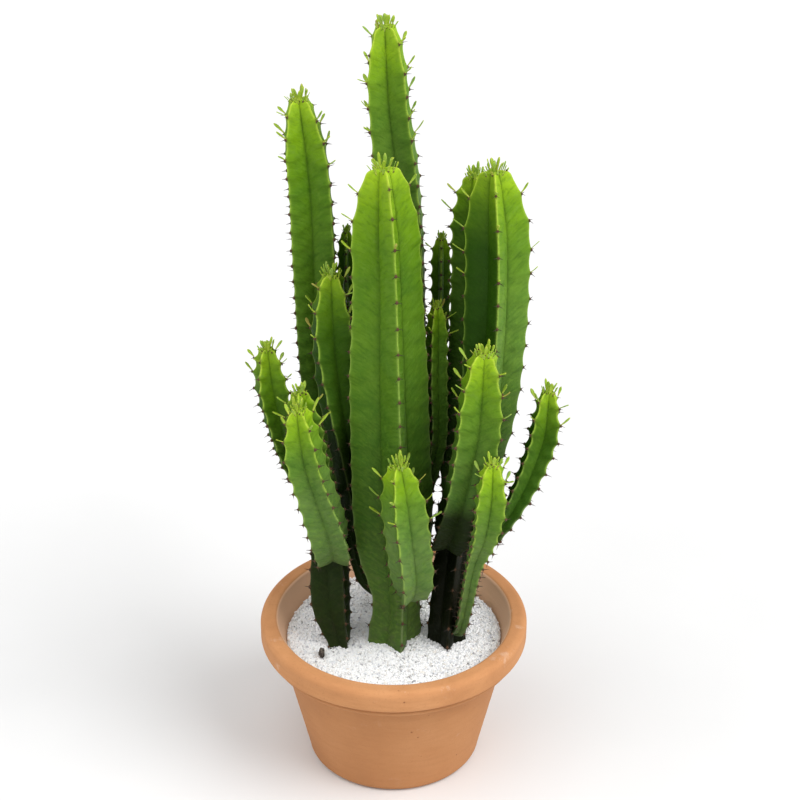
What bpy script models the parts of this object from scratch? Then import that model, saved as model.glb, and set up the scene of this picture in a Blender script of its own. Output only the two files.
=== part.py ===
"""Potted tall cactus: a clump of four-ribbed stems rooted in a round terracotta pot.

The pot stands on z = 0 with its axis on the origin, and +Y is the back of the plant. Lengths are
in metres. Every stem is one solid, lofted along a route of points from its root end to its growing
tip. A stem that grows from another one is cut where it meets that one.
"""

import math

import bmesh
import bpy
from mathutils import Vector

MM = 0.001
GAP = 0.3 * MM               # clearance between neighbouring solids
SOCKET = 0.5 * MM            # how far a cutter stands off the stem it is made from

# Pot
POT_HEIGHT = 178 * MM
RIM_RADIUS = 150 * MM
RIM_INNER_RADIUS = 130 * MM
BODY_TOP_RADIUS = 128 * MM   # outside of the wall, just under the rim
BODY_BASE_RADIUS = 96 * MM   # the same wall run down to the ground
WALL = 9 * MM
FLOOR = 14 * MM
BODY_TOP = 140 * MM
FOOT_ROUNDING = 9 * MM
CAVITY_ROUNDING = 6 * MM     # between the floor and the inside of the wall
BEAD_CENTRE = (139 * MM, 145 * MM)   # the bead under the rim, as radius and height
BEAD_RADIUS = 4 * MM
BEAD_SWEEP = 50              # degrees of the bead's arc, below and above its middle
GROOVE = (140 * MM, 150.5 * MM)      # the hollow between the bead and the rim
LIP_INSET = 3 * MM           # the rim's lower edge starts this far inside its full radius
LIP_BOTTOM = 152 * MM
LIP_SIDE = 156 * MM
CROWN_OUTSIDE = 8 * MM       # rounding of the rim's outer edge
CROWN_INSIDE = 5 * MM
DRAIN_RADIUS = 7 * MM
DRAIN_CIRCLE = 48 * MM
DRAINS = 3
POT_SIDES = 48

# What fills it
SOIL_TOP = 138 * MM
GRAVEL_TOP = 150 * MM
GRAVEL_CROWN = 2 * MM        # the top dressing stands this much higher in the middle
GRAVEL_EDGE = 1.5 * MM       # rounding of the gravel against the wall
STONE_PLACE = (-80 * MM, -46 * MM)
STONE_SIZE = (3.6 * MM, 6.2 * MM, 4.6 * MM)
STONE_BULGE = 0.12           # unevenness of the stone, as a share of its size

# Stems
RIBS = 4
MARGIN = 1.7 * MM            # half the thickness of a rib's edge
VALLEY_YOUNG = 0.38          # depth of the channel between two ribs, as a share of the rib radius
VALLEY_OLD = 0.52
TIP_LENGTH = 1.9             # the tapered tip, in rib radii
TIP_WIDTH = 0.40             # how wide the blunt end of the tip is, as a share of the rib radius
TIP_RISE = 1.2 * MM          # the middle of the tip stands this far above its rim
RING_STEP = 24 * MM
STEM_GREEN = (0.09, 0.25, 0.03)
LEAF_GREEN = (0.33, 0.46, 0.05)

# Tufts of young leaves, one on each growing tip
CROWN_LEAVES = 5
CROWN_WIDTH = 0.24           # radius of the bud, as a share of the stem's rib radius
CROWN_HEIGHT = 2.5 * MM
LEAF_LENGTH = 9 * MM         # of the leaves round a bud, with a little more on a thick stem
LEAF_GROWTH = 0.12           # extra leaf length, as a share of the stem's rib radius
LEAF_LEAN = 26               # degrees away from the stem's direction
LEAF_SECTIONS = ((0.35, 0.8 * MM, 0.6 * MM), (0.75, 1.7 * MM, 0.6 * MM), (1.0, 0.6 * MM, 0.3 * MM))

# Each stem: (what it grows from, compass bearing of its first rib at the tip, twist down to the
# root end, route). The bearing is in degrees from +X towards +Y. A route point is x, y, z and the
# rib radius there, all in millimetres; the last point is the growing tip.
STEMS = {
    "stem_centre": ("soil", -75, 0, [
        (-1, -10, 115, 31), (1, -10, 160, 31), (3, -10, 207, 28), (1, -10, 280, 43),
        (-3, -11, 395, 44), (-5, -12, 495, 42), (-6, -12, 595, 38), (-10, -12, 726, 35)]),
    "stem_back_tallest": ("soil", -47, 0, [
        (10, 54, 115, 24), (12, 58, 245, 30), (11, 60, 395, 33), (10, 60, 545, 33),
        (5, 60, 675, 31), (-4, 60, 765, 28), (-8, 60, 849, 27)]),
    "stem_left_tall": ("soil", -130, -15, [
        (-59, -22, 120, 12), (-60, -20, 147, 14), (-70, -8, 200, 26), (-72, 11, 262, 25),
        (-75, 32, 315, 22), (-77, 44, 360, 23), (-79, 55, 445, 28), (-83, 60, 555, 31),
        (-87, 60, 675, 31), (-96, 60, 771, 27)]),
    "stem_right_tall": ("soil", -90, 0, [
        (59, -12, 115, 22), (60, -12, 165, 22), (64, -9, 220, 22), (71, -4, 285, 23),
        (85, 1, 355, 25), (99, 2, 420, 29), (106, 2, 525, 33), (107, 2, 625, 34),
        (102, 2, 717, 32)]),
    "branch_right_back": ("stem_right_tall", -83, 0, [
        (69, 2, 287, 12), (69, 26, 307, 14), (69, 44, 365, 20), (79, 51, 435, 25),
        (87, 52, 515, 28), (87, 52, 615, 27), (85, 52, 690, 26)]),
    "branch_left_middle": ("stem_centre", -135, 58, [
        (-7, -6, 209, 11), (-27, -1, 223, 12), (-39, 5, 260, 13), (-43, 6, 315, 15),
        (-51, 9, 385, 19), (-58, 7, 445, 24), (-64, 6, 525, 27), (-64, 6, 599, 26)]),
    "branch_left_far": ("stem_left_tall", -120, 0, [
        (-81, 29, 307, 8), (-94, 25, 325, 10), (-109, 19, 356, 14), (-121, 16, 407, 19),
        (-131, 17, 463, 22), (-134, 17, 506, 21)]),
    "branch_left_front": ("stem_left_tall", -145, 14, [
        (-71, -8, 264, 15), (-67, -28, 279, 23), (-68, -46, 307, 27), (-75, -57, 346, 26),
        (-84, -65, 385, 24), (-92, -72, 425, 24), (-98, -78, 486, 23)]),
    "branch_left_inner": ("stem_left_tall", -100, 0, [
        (-73, 20, 313, 7), (-75, -6, 333, 11), (-83, -25, 383, 17), (-91, -31, 425, 19),
        (-98, -31, 481, 19)]),
    "branch_centre_front": ("stem_centre", -110, 0, [
        (12, -25, 214, 5), (15, -42, 230, 13), (19, -58, 252, 23), (19, -66, 282, 26),
        (12, -70, 355, 27), (6, -70, 414, 26)]),
    "branch_right_front": ("stem_right_tall", -135, 0, [
        (60, -6, 283, 16), (59, -24, 293, 23), (65, -39, 319, 27), (75, -50, 360, 29),
        (83, -57, 410, 30), (89, -60, 460, 31), (93, -60, 542, 29)]),
    "branch_right_low": ("stem_right_tall", -135, 0, [
        (61, -13, 165, 7), (73, -24, 172, 8), (80, -37, 216, 10), (87, -61, 285, 12),
        (97, -82, 338, 18), (102, -92, 388, 22), (103, -92, 429, 22)]),
    "branch_right_far": ("branch_right_low", -135, 0, [
        (93, -73, 314, 5), (103, -75, 326, 10), (114, -71, 340, 12), (129, -63, 362, 14),
        (144, -52, 392, 17), (158, -38, 432, 20), (163, -30, 480, 20)]),
    "branch_back_left": ("stem_back_tallest", -90, 0, [
        (3, 62, 423, 6), (-20, 72, 438, 7), (-42, 79, 480, 8), (-50, 82, 535, 9),
        (-50, 82, 613, 9)]),
    "branch_back_right": ("stem_back_tallest", -90, 0, [
        (17, 66, 393, 6), (37, 76, 419, 8), (49, 82, 475, 10), (51, 82, 605, 11)]),
    "branch_centre_back": ("stem_centre", -115, 0, [
        (9, 4, 287, 7), (25, 18, 307, 9), (39, 26, 345, 11), (47, 28, 395, 13),
        (46, 28, 465, 14), (46, 28, 551, 13)]),
}


def material(name, colour, roughness, metallic=0.0):
    """A plain Principled material in the part's own colour."""
    made = bpy.data.materials.new(name)
    made.use_nodes = True
    shader = made.node_tree.nodes["Principled BSDF"]
    shader.inputs["Base Color"].default_value = (*colour, 1.0)
    shader.inputs["Roughness"].default_value = roughness
    shader.inputs["Metallic"].default_value = metallic
    return made


def new_object(name, bm, finish):
    """Turn a bmesh into a named object that stands in the scene."""
    bmesh.ops.recalc_face_normals(bm, faces=bm.faces)
    mesh = bpy.data.meshes.new(name)
    bm.to_mesh(mesh)
    bm.free()
    made = bpy.data.objects.new(name, mesh)
    bpy.context.scene.collection.objects.link(made)
    if finish:
        made.data.materials.append(finish)
    mesh.shade_smooth()
    mesh.set_sharp_from_angle(angle=math.radians(35))
    return made


def cut_with(target, cutter):
    """Take one closed solid away from another, and leave the cutter as a hidden guide."""
    cutter.hide_render = True
    cutter.display_type = "WIRE"
    cut = target.modifiers.new("cut_" + cutter.name, "BOOLEAN")
    cut.operation = "DIFFERENCE"
    cut.solver = "EXACT"
    cut.object = cutter


def turned(name, profile, sides, finish):
    """A closed solid of revolution from (radius, height) points; both ends are on the axis."""
    bm = bmesh.new()
    rings = []
    for radius, height in profile:
        if radius == 0.0:
            rings.append([bm.verts.new((0.0, 0.0, height))])
            continue
        angles = [2 * math.pi * i / sides for i in range(sides)]
        rings.append([bm.verts.new((radius * math.cos(a), radius * math.sin(a), height))
                      for a in angles])
    for lower, upper in zip(rings, rings[1:]):
        for i in range(sides):
            j = (i + 1) % sides
            corners = [lower[i % len(lower)], lower[j % len(lower)],
                       upper[j % len(upper)], upper[i % len(upper)]]
            bm.faces.new(list(dict.fromkeys(corners)))
    return new_object(name, bm, finish)


def arc(centre, radius, start, end, steps):
    """Points on a circular arc in the (radius, height) plane, angles in degrees."""
    points = []
    for i in range(steps + 1):
        angle = math.radians(start + (end - start) * i / steps)
        points.append((centre[0] + radius * math.cos(angle), centre[1] + radius * math.sin(angle)))
    return points


def wall_radius(height):
    """Outside radius of the plain tapered wall at a height."""
    return BODY_BASE_RADIUS + (BODY_TOP_RADIUS - BODY_BASE_RADIUS) * height / BODY_TOP


def inner_radius(height):
    """Inside radius of the pot, which opens out a little faster above the wall's top."""
    top_inside = BODY_TOP_RADIUS - WALL
    if height <= BODY_TOP:
        return wall_radius(height) - WALL
    share = (height - BODY_TOP) / (POT_HEIGHT - BODY_TOP)
    return top_inside + (RIM_INNER_RADIUS - top_inside) * share


def cavity_corner(clearance):
    """The rounded corner between the inside of the wall and the floor, from the floor upwards."""
    height = FLOOR + CAVITY_ROUNDING
    centre = (inner_radius(height) - CAVITY_ROUNDING, height)
    return arc(centre, CAVITY_ROUNDING - clearance, -90, 0, 2)


def pot_profile():
    """Half section of the pot, from the middle of its underside round to its floor."""
    foot = wall_radius(FOOT_ROUNDING) - FOOT_ROUNDING
    points = [(0.0, 0.0), (foot, 0.0)]
    points += arc((foot, FOOT_ROUNDING), FOOT_ROUNDING, -60, 0, 2)
    points += [(BODY_TOP_RADIUS, BODY_TOP)]
    points += [(BEAD_CENTRE[0], BEAD_CENTRE[1] - BEAD_RADIUS)]
    points += arc(BEAD_CENTRE, BEAD_RADIUS, -BEAD_SWEEP, BEAD_SWEEP, 3)
    points += [GROOVE, (RIM_RADIUS - LIP_INSET, LIP_BOTTOM), (RIM_RADIUS, LIP_SIDE)]
    points += arc((RIM_RADIUS - CROWN_OUTSIDE, POT_HEIGHT - CROWN_OUTSIDE), CROWN_OUTSIDE, 0, 90, 3)
    points += arc((RIM_INNER_RADIUS + CROWN_INSIDE, POT_HEIGHT - CROWN_INSIDE), CROWN_INSIDE,
                  90, 170, 2)
    points += [(inner_radius(BODY_TOP), BODY_TOP)]
    points += reversed(cavity_corner(0.0))
    points += [(0.0, FLOOR)]
    return points


def build_pot():
    """The terracotta pot, with its drainage holes round a solid middle."""
    pot = turned("pot", pot_profile(), POT_SIDES, material("terracotta", (0.58, 0.30, 0.16), 0.85))
    for i in range(DRAINS):
        angle = 2 * math.pi * i / DRAINS + math.pi / 2 + math.pi / POT_SIDES
        bm = bmesh.new()
        bmesh.ops.create_cone(bm, cap_ends=True, segments=16, radius1=DRAIN_RADIUS,
                              radius2=DRAIN_RADIUS, depth=3 * FLOOR)
        centre = Vector((DRAIN_CIRCLE * math.cos(angle), DRAIN_CIRCLE * math.sin(angle), FLOOR / 2))
        bmesh.ops.translate(bm, verts=bm.verts, vec=centre)
        cut_with(pot, new_object("drain_cutter_%d" % (i + 1), bm, None))
    return pot


def build_fill():
    """The soil and the layer of white gravel on it."""
    clearance = 1.5 * GAP
    soil_profile = [(0.0, FLOOR + clearance), *cavity_corner(clearance),
                    (inner_radius(SOIL_TOP) - clearance, SOIL_TOP), (0.0, SOIL_TOP)]
    soil = turned("soil", soil_profile, POT_SIDES, material("potting_soil", (0.05, 0.03, 0.02), 1.0))
    bottom = SOIL_TOP + GAP
    side = 3 * GAP
    gravel_profile = [(0.0, bottom), (inner_radius(bottom) - side, bottom),
                      (inner_radius(GRAVEL_TOP) - side, GRAVEL_TOP - GRAVEL_EDGE),
                      (inner_radius(GRAVEL_TOP) - 3 * GRAVEL_EDGE, GRAVEL_TOP),
                      (0.0, GRAVEL_TOP + GRAVEL_CROWN)]
    gravel = turned("gravel", gravel_profile, POT_SIDES,
                    material("white_gravel", (0.80, 0.79, 0.77), 0.9))
    return soil, gravel


def build_stone():
    """The one dark stone that lies on the white gravel."""
    bm = bmesh.new()
    bmesh.ops.create_icosphere(bm, subdivisions=2, radius=1.0)
    x, y = STONE_PLACE
    slope = GRAVEL_CROWN / (inner_radius(GRAVEL_TOP) - 3 * GRAVEL_EDGE)
    ground = GRAVEL_TOP + GRAVEL_CROWN - slope * math.hypot(x, y)
    middle = Vector((x, y, ground + 2 * GAP + STONE_SIZE[2] * (1 + STONE_BULGE)))
    for vert in bm.verts:
        wave = math.sin(5 * vert.co.x + 3 * vert.co.y + 4 * vert.co.z)
        offset = vert.co * (1 + STONE_BULGE * wave)
        vert.co = middle + Vector(size * o for size, o in zip(STONE_SIZE, offset))
    return new_object("dark_stone", bm, material("dark_stone", (0.09, 0.07, 0.05), 0.8))


def smooth_point(points, position):
    """A point on the smooth curve through the route; position runs from 0 to len - 1."""
    index = min(int(position), len(points) - 2)
    t = position - index
    here, after = Vector(points[index]), Vector(points[index + 1])
    before = Vector(points[index - 1]) if index > 0 else 2 * here - after
    beyond = Vector(points[index + 2]) if index + 2 < len(points) else 2 * after - here
    span = (after - here).length
    tangent_here = (after - before) * span / ((here - before).length + span)
    tangent_after = (beyond - here) * span / ((beyond - after).length + span)
    return ((2 * t ** 3 - 3 * t ** 2 + 1) * here + (t ** 3 - 2 * t ** 2 + t) * tangent_here
            + (3 * t ** 2 - 2 * t ** 3) * after + (t ** 3 - t ** 2) * tangent_after)


def sampled_route(route, step):
    """Evenly spaced (place, rib radius, distance from the root end) along a stem."""
    fine = 24
    points = [tuple(value * MM for value in point) for point in route]
    dense = [smooth_point(points, i / fine) for i in range(fine * (len(points) - 1) + 1)]
    lengths = [0.0]
    for a, b in zip(dense, dense[1:]):
        lengths.append(lengths[-1] + (b.xyz - a.xyz).length)
    total = lengths[-1]
    tip = TIP_LENGTH * dense[-1].w
    stations = [total - tip * share for share in (0.62, 0.34, 0.14, 0.03, 0.0)]
    body = total - tip
    count = max(4, round(body / step))
    stations = [body * i / count for i in range(count + 1)] + stations
    samples = []
    for s in stations:
        k = next(i for i in range(1, len(lengths)) if lengths[i] >= s - 1e-9)
        share = (s - lengths[k - 1]) / (lengths[k] - lengths[k - 1])
        point = dense[k - 1].lerp(dense[k], share)
        samples.append((point.xyz, point.w, s, total))
    return samples


def tip_share(distance_to_tip, radius):
    """How much of the rib radius is left near the blunt growing tip."""
    length = TIP_LENGTH * radius
    if distance_to_tip >= length:
        return 1.0
    return TIP_WIDTH + (1 - TIP_WIDTH) * (distance_to_tip / length) ** 0.6


def stem_frames(places, bearing):
    """At each place on a stem, the direction of its first rib, and the one square to it."""
    frames = []
    side = Vector((math.cos(math.radians(bearing)), math.sin(math.radians(bearing)), 0.0))
    for i in reversed(range(len(places))):
        along = (places[min(i + 1, len(places) - 1)] - places[max(i - 1, 0)]).normalized()
        side = (side - along * side.dot(along)).normalized()
        frames.append((side.copy(), along.cross(side)))
    frames.reverse()
    return frames


def stem_mesh(route, bearing, twist, grown=0.0):
    """A four-ribbed stem as a bmesh; grown pushes its skin outwards, for use as a cutter."""
    samples = sampled_route(route, RING_STEP)
    places = [s[0] for s in samples]
    frames = stem_frames(places, bearing)
    bm = bmesh.new()
    rings = []
    for (place, radius, s, total), (side, across) in zip(samples, frames):
        age = min(1.0, (total - s) / 0.5)
        valley = VALLEY_YOUNG + (VALLEY_OLD - VALLEY_YOUNG) * age
        turn = math.radians(twist) * (total - s) / total
        rib = radius * tip_share(total - s, radius)
        margin = math.atan(min(MARGIN, 0.3 * rib) / rib)
        ring = []
        for k in range(RIBS):
            centre = 2 * math.pi * k / RIBS + turn
            half = math.pi / RIBS
            for angle, reach in ((centre - margin, rib), (centre + margin, rib),
                                 (centre + half, valley * rib)):
                out = (reach + grown) * (math.cos(angle) * side + math.sin(angle) * across)
                ring.append(bm.verts.new(place + out))
        rings.append(ring)
    for lower, upper in zip(rings, rings[1:]):
        for i in range(len(lower)):
            j = (i + 1) % len(lower)
            bm.faces.new((lower[i], lower[j], upper[j], upper[i]))
    for ring, end, frame, lift in ((rings[0], places[0], frames[0], -grown),
                                   (rings[-1], places[-1], frames[-1], grown + TIP_RISE)):
        pole = bm.verts.new(end + lift * frame[0].cross(frame[1]))
        for i in range(len(ring)):
            bm.faces.new((ring[i], ring[(i + 1) % len(ring)], pole))
    return bm


def crown_mesh(route, bearing):
    """The bud on a growing tip, with the young leaves round it and one standing in its middle."""
    samples = sampled_route(route, RING_STEP)
    places = [s[0] for s in samples]
    side, across = stem_frames(places, bearing)[-1]
    up = side.cross(across)
    radius = samples[-1][1]
    foot = places[-1] + (TIP_RISE + 2 * GAP) * up
    leaf_length = LEAF_LENGTH + LEAF_GROWTH * radius
    lean = math.radians(LEAF_LEAN)
    bm = bmesh.new()
    outward = []
    for i in range(CROWN_LEAVES):
        angle = 2 * math.pi * i / CROWN_LEAVES
        outward.append(math.cos(angle) * side + math.sin(angle) * across)

    def ring(share, height):
        return [bm.verts.new(foot + share * CROWN_WIDTH * radius * out + height * up)
                for out in outward]

    bottom, top, heart = ring(1.0, 0.0), ring(0.75, CROWN_HEIGHT), ring(0.2, 1.4 * CROWN_HEIGHT)
    tip = bm.verts.new(foot + (CROWN_HEIGHT + 0.9 * leaf_length) * up)
    bm.faces.new(bottom)
    for i in range(CROWN_LEAVES):
        j = (i + 1) % CROWN_LEAVES
        bm.faces.new((top[i], top[j], heart[j], heart[i]))
        bm.faces.new((heart[i], heart[j], tip))
        out = (outward[i] + outward[j]).normalized()
        around = up.cross(out)
        along = math.cos(lean) * up + math.sin(lean) * out
        face_out = around.cross(along)
        corners = [bottom[i], bottom[j], top[j], top[i]]
        centre = sum((corner.co for corner in corners), Vector()) / 4
        for share, half_width, half_thickness in LEAF_SECTIONS:
            middle = centre + share * leaf_length * along
            section = [bm.verts.new(middle + half_width * w * around + half_thickness * t * face_out)
                       for w, t in ((-1, 1), (1, 1), (1, -1), (-1, -1))]
            for k in range(4):
                n = (k + 1) % 4
                bm.faces.new((corners[k], corners[n], section[n], section[k]))
            corners = section
        bm.faces.new(corners)
    return bm


def build_stems():
    """Every stem, and a slightly larger copy of each one that something is cut to fit."""
    parents = {grows_from for grows_from, _, _, _ in STEMS.values()}
    stems, cutters = {}, {}
    for name, (grows_from, bearing, twist, route) in STEMS.items():
        stems[name] = new_object(name, stem_mesh(route, bearing, twist),
                                 material(name, STEM_GREEN, 0.5))
        crown = name + "_crown"
        new_object(crown, crown_mesh(route, bearing), material(crown, LEAF_GREEN, 0.5))
        if name in parents or grows_from == "soil":
            cutters[name] = new_object(name + "_cutter", stem_mesh(route, bearing, twist, SOCKET), None)
    for name, (grows_from, _, _, _) in STEMS.items():
        if grows_from != "soil":
            cut_with(stems[name], cutters[grows_from])
    return cutters


def main():
    for old in list(bpy.data.objects):
        bpy.data.objects.remove(old)
    build_pot()
    soil, gravel = build_fill()
    build_stone()
    cutters = build_stems()
    for name, (grows_from, _, _, _) in STEMS.items():
        if grows_from == "soil":
            cut_with(soil, cutters[name])
            cut_with(gravel, cutters[name])


main()
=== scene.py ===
"""The looks of the potted tall cactus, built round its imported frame.

Each stem is lofted along the same route as its solid, with scalloped rib edges, spine pairs on
brown pads and small young leaves near its tip. The gravel is a bed of separate chippings, and the
pot is turned from a finer profile. All of it rides on the one body, and lengths are in metres.
"""

import math
import random

import bpy
import numpy as np
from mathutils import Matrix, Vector, noise


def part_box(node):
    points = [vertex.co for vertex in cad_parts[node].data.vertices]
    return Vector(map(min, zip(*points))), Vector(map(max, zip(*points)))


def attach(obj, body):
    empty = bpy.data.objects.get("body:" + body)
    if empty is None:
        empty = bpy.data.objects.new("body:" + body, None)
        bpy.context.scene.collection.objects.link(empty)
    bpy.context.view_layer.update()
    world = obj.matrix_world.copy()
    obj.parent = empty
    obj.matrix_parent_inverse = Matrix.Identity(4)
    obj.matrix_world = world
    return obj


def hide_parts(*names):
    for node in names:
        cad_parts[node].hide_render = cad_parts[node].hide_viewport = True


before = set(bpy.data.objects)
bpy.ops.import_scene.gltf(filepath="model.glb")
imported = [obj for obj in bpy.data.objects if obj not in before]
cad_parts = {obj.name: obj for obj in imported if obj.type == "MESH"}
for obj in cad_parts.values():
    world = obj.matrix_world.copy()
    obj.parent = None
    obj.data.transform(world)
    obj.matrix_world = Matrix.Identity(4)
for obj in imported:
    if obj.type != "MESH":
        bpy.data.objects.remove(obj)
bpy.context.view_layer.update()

MM = 0.001
BODY = "root"

# Camera
CAMERA_PLACE = (0.007, -2.0, 1.595)
CAMERA_PITCH = 29.7          # degrees below level
LENS = 97.335

# Pot
POT_HEIGHT = 178 * MM
RIM_RADIUS = 150 * MM
RIM_INNER_RADIUS = 130 * MM
BODY_TOP_RADIUS = 128 * MM
BODY_BASE_RADIUS = 96 * MM
WALL = 9 * MM
FLOOR = 14 * MM
BODY_TOP = 140 * MM
FOOT_ROUNDING = 9 * MM
CAVITY_ROUNDING = 6 * MM
BEAD_CENTRE = (139 * MM, 145 * MM)
BEAD_RADIUS = 4 * MM
BEAD_SWEEP = 50
GROOVE = (140 * MM, 150.5 * MM)
LIP_INSET = 3 * MM
LIP_BOTTOM = 152 * MM
LIP_SIDE = 156 * MM
CROWN_OUTSIDE = 8 * MM
CROWN_INSIDE = 5 * MM
DRAIN_RADIUS = 7 * MM
DRAIN_CIRCLE = 48 * MM
DRAINS = 3
DRAIN_TURN = math.pi / 2 + math.pi / 48
POT_SIDES = 288
INSIDE_AFTER = 6             # profile points from the top's outer edge to where the inside starts
UNEVEN = 0.45 * MM           # how far the hand-turned wall strays from round
TURNING_MARKS = 0.12 * MM

# Gravel
GRAVEL_TOP = 149 * MM
GRAVEL_CROWN = 2 * MM
CHIPS = 13000
CHIP_SIZES = (1.0 * MM, 2.0 * MM)    # half lengths, smallest and largest
CHIP_SHAPE = (1.25, 0.85, 0.7)
CHIP_SEED = 40
BED_DROP = 1.2 * MM          # how far the solid bed lies under the chips' middle
BED_BOTTOM = 138.4 * MM
BED_SIDES = 120
BED_RINGS = 26
GOLDEN_ANGLE = math.pi * (3 - 5 ** 0.5)

# Stems
RIBS = 4
MARGIN = 1.35 * MM           # half the thickness of a rib's edge
VALLEY_YOUNG = 0.38
VALLEY_OLD = 0.52
TOOTH_YOUNG = 5.2 * MM       # depth of the scallops along a rib's edge, near a branch's tip
TOOTH_TALL = 2.9 * MM        # the same on a stem that stands in the gravel
TOOTH_OLD = 1.6 * MM
TOOTH_FADE = 0.16            # distance from the tip over which the scallops grow shallow
TOOTH_RIB = 16 * MM          # a rib slimmer than this has smaller scallops
TOOTH_START = 8 * MM         # nearer to the tip than this, the scallops are smaller
BULGE = 0.045                # how far a rib's flanks swell, as a share of the rib radius
OLD_AT = 0.5                 # distance from the tip where a channel is as shallow as it gets
TIP_LENGTH = 1.9             # the tapered tip, in rib radii
TIP_WIDTH = 0.40
TIP_POWER = 0.52
TIP_STEPS = (0.0, 0.12 * MM, 0.4 * MM, 0.9 * MM, 1.6 * MM)    # the first rings below the tip
TIP_STEP = 1.1 * MM
TIP_CAPS = ((0.86, 0.7 * MM), (0.6, 1.3 * MM), (0.3, 1.2 * MM))    # (share of the rib, rise)
RING_STEP = 2.3 * MM
ROUTE_STEPS = 40             # points on the smooth curve between two points of a route
WOBBLE = 0.03                # how much a stem's width varies
RIPPLE = 0.45 * MM           # how high the ripples on a rib's flanks are
FULL_LENGTH = 0.6            # a stem of this length shows every shade from young to old
MARGIN_STEPS = ((0.35, 0.62, 0.85), (1.0, 1.0, 0.25))    # (drop, half width, paleness) of an edge
FACE_STEPS = (0.05, 0.14, 0.28, 0.46, 0.66, 0.84, 0.95)    # across a flank, from edge to channel
MIDDLE = len(MARGIN_STEPS) + len(FACE_STEPS)    # the column of a rib's section that is its edge
# Painted shade: how dark the line painted down each channel is, where shade falls.
CREASE_SHADE = 0.48                # how dark the line down a channel is
EDGE_GAP = 3.0 * MM          # the pale edge stops this far from a spine pair
PAD_STAIN = 2.4 * MM         # the brown stain round a pad
GRAIN_ALONG = 230            # how tightly the skin's streaks are packed along a stem
GRAIN_ACROSS = 55            # and how tightly across a flank

# Spine pairs and leaves
RIB_STARTS = (0.0, 0.288, 0.048, 0.336)    # how much later each rib's pairs start, in top gaps
LAST_PAIR = 4 * MM           # no pair is nearer to the root end than this
GAP_FADE = 90 * MM           # distance over which the spacing goes from the top to the lower one
GROWN_AT = 90 * MM           # distance from the tip where pads and spines reach full size
PAD_SIZE = (1.1 * MM, 1.45 * MM, 1.9 * MM)
SPINE_LENGTHS = (4.4, 6.6)   # mm, as are the other pairs of lengths here
SPINE_RADIUS = 0.55 * MM
LEAF_CHANCE = 0.85
LEAF_LENGTHS = (10.5, 16.0)
LEAF_WIDTHS = (3.4, 4.6)
LEAF_THICKNESS = 0.24        # as a share of the width
TUFT_SLIM = 14               # leaves in the tuft of a slim stem
TUFT_STOUT = 20
TUFT_INNER = ((11.0, 16.5), (3.8, 5.2))    # lengths and widths in the middle of a tuft
TUFT_OUTER = ((5.5, 11.0), (2.7, 4.0))
BUD_CHANCE = 0.45
STOUT_RIB = 24 * MM          # stems with a slimmer rib have smaller pads and leaves

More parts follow.
